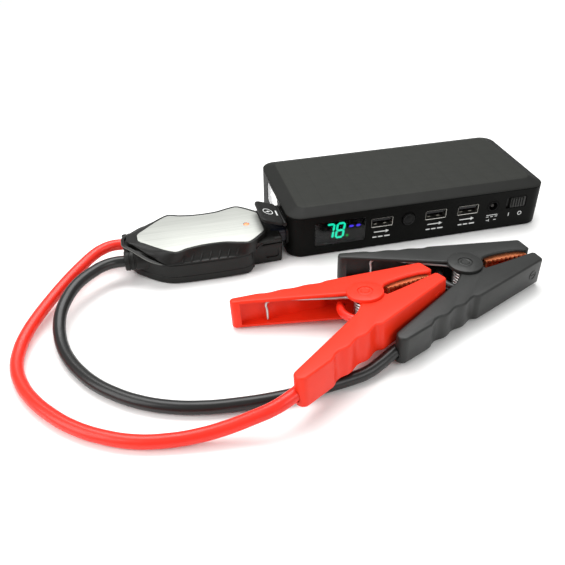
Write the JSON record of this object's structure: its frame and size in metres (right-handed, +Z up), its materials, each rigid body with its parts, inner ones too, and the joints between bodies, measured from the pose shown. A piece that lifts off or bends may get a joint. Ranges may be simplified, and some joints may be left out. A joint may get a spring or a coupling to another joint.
{
  "type": "jump starter pack",
  "caption": "Flat lithium jump starter with display, USB and DC sockets, torch and covered jump socket, its smart plug lead and red and black sprung clamps laid in front.",
  "frame": {"origin": "middle of the face the pack rests on, on the floor", "axes": "+X along the pack towards its right end seen from the ports, +Y from the port face to the back, +Z up"},
  "size_m": [0.3095, 0.1996, 0.0295],
  "materials": {
    "case_shell": "dark grey ABS, fine even grain",
    "case_lid": "soft-touch rubberised coat with a faint square grid",
    "screw_steel": "zinc-plated cross-head screws",
    "smoked_window": "smoked acrylic, polished",
    "display_board": "dark display body",
    "lit_segments": "lit teal figures and blue bars",
    "socket_metal": "bright stamped steel",
    "socket_plastic": "moulded tongue",
    "jack_plastic": "moulded nylon, satin",
    "contact_brass": "turned, bright",
    "button_plastic": "satin with a polished ring",
    "switch_plastic": "moulded switch body",
    "slider_plastic": "ribbed knob, satin",
    "torch_lens": "clear with fine ribs",
    "reflector": "vacuum metallised",
    "torch_led": "lit white diode",
    "cover_rubber": "moulded flap, matt",
    "cell_foil": "foil pouch cells",
    "board": "green solder mask",
    "module_rubber": "matt black overmould",
    "brushed_plate": "brushed along the plate, clear anodised",
    "indicator": "lit amber light guide",
    "relay_plastic": "sealed relay case",
    "plug_plastic": "dark blue nylon",
    "red_pvc": "glossy extruded sheath",
    "black_pvc": "glossy extruded sheath",
    "red_grip": "satin moulded nylon",
    "black_grip": "satin moulded nylon",
    "copper": "stamped copper-plated steel",
    "pin_steel": "rolled rivet",
    "spring_steel": "oiled spring wire"
  },
  "bodies": {
    "pack": {"case_bottom": "case_shell", "case_top": "case_lid", "case_screws": "screw_steel", "display_window": "smoked_window", "display_module": "display_board", "display_digits": "lit_segments", "usb_sockets": "socket_metal", "usb_tongues": "socket_plastic", "dc_jack": "jack_plastic", "dc_pin": "contact_brass", "button_switch": "switch_plastic", "switch_body": "switch_plastic", "torch_lens": "torch_lens", "torch_reflector": "reflector", "torch_led": "torch_led", "jump_socket": "jack_plastic", "socket_contacts": "contact_brass", "cover_strap": "cover_rubber", "battery_cells": "cell_foil", "circuit_board": "board"},
    "power_button": {"power_button": "button_plastic"},
    "switch_slider": {"switch_slider": "slider_plastic"},
    "port_cover": {"port_cover": "cover_rubber"},
    "smart_lead": {"module_bottom_shell": "module_rubber", "module_top_shell": "module_rubber", "module_plate": "brushed_plate", "module_led": "indicator", "module_board": "board", "module_relays": "relay_plastic", "module_screws": "screw_steel", "plug_housing": "plug_plastic", "plug_contacts": "contact_brass", "red_strain_relief": "module_rubber", "black_strain_relief": "module_rubber", "red_cable": "red_pvc", "black_cable": "black_pvc", "red_cable_half": "red_grip", "red_cable_jaw": "copper", "red_pivot_pin": "pin_steel", "red_spring": "spring_steel", "red_jumper_wire": "red_pvc", "red_cable_lug": "copper", "black_cable_half": "black_grip", "black_cable_jaw": "copper", "black_pivot_pin": "pin_steel", "black_spring": "spring_steel", "black_jumper_wire": "black_pvc", "black_cable_lug": "copper"},
    "red_free_grip": {"red_free_half": "red_grip", "red_free_jaw": "copper", "red_spring_leg": "spring_steel"},
    "black_free_grip": {"black_free_half": "black_grip", "black_free_jaw": "copper", "black_spring_leg": "spring_steel"}
  },
  "joints": [
    {"name": "power_button_press", "type": "slide", "parent": "pack", "child": "power_button", "axis": [0, 1, 0], "range_m": [0, 0.001], "stiffness_N_per_m": 600, "springref_m": -0.001},
    {"name": "mode_switch_slide", "type": "slide", "parent": "pack", "child": "switch_slider", "axis": [-1, 0, 0], "range_m": [0, 0.0024]},
    {"name": "port_cover_hinge", "type": "hinge", "parent": "pack", "child": "port_cover", "pos_m": [-0.0814, -0.0225, 0.0216], "axis": [0, 1, 0], "range_deg": [-15, 65]},
    {"name": "smart_plug_pull", "type": "slide", "parent": "pack", "child": "smart_lead", "axis": [-1, 0, 0], "range_m": [0, 0.02]},
    {"name": "red_clamp_jaw", "type": "hinge", "parent": "smart_lead", "child": "red_free_grip", "pos_m": [-0.05883, -0.10486, 0.01287], "axis": [-0.035, 0.1221, 0.9919], "range_deg": [0, 5], "stiffness_Nm_per_rad": 0.9, "springref_deg": -17.19},
    {"name": "black_clamp_jaw", "type": "hinge", "parent": "smart_lead", "child": "black_free_grip", "pos_m": [0.002, -0.089, 0.00935], "axis": [0, 0, 1], "range_deg": [0, 5], "stiffness_Nm_per_rad": 0.9, "springref_deg": -17.19}
  ]
}
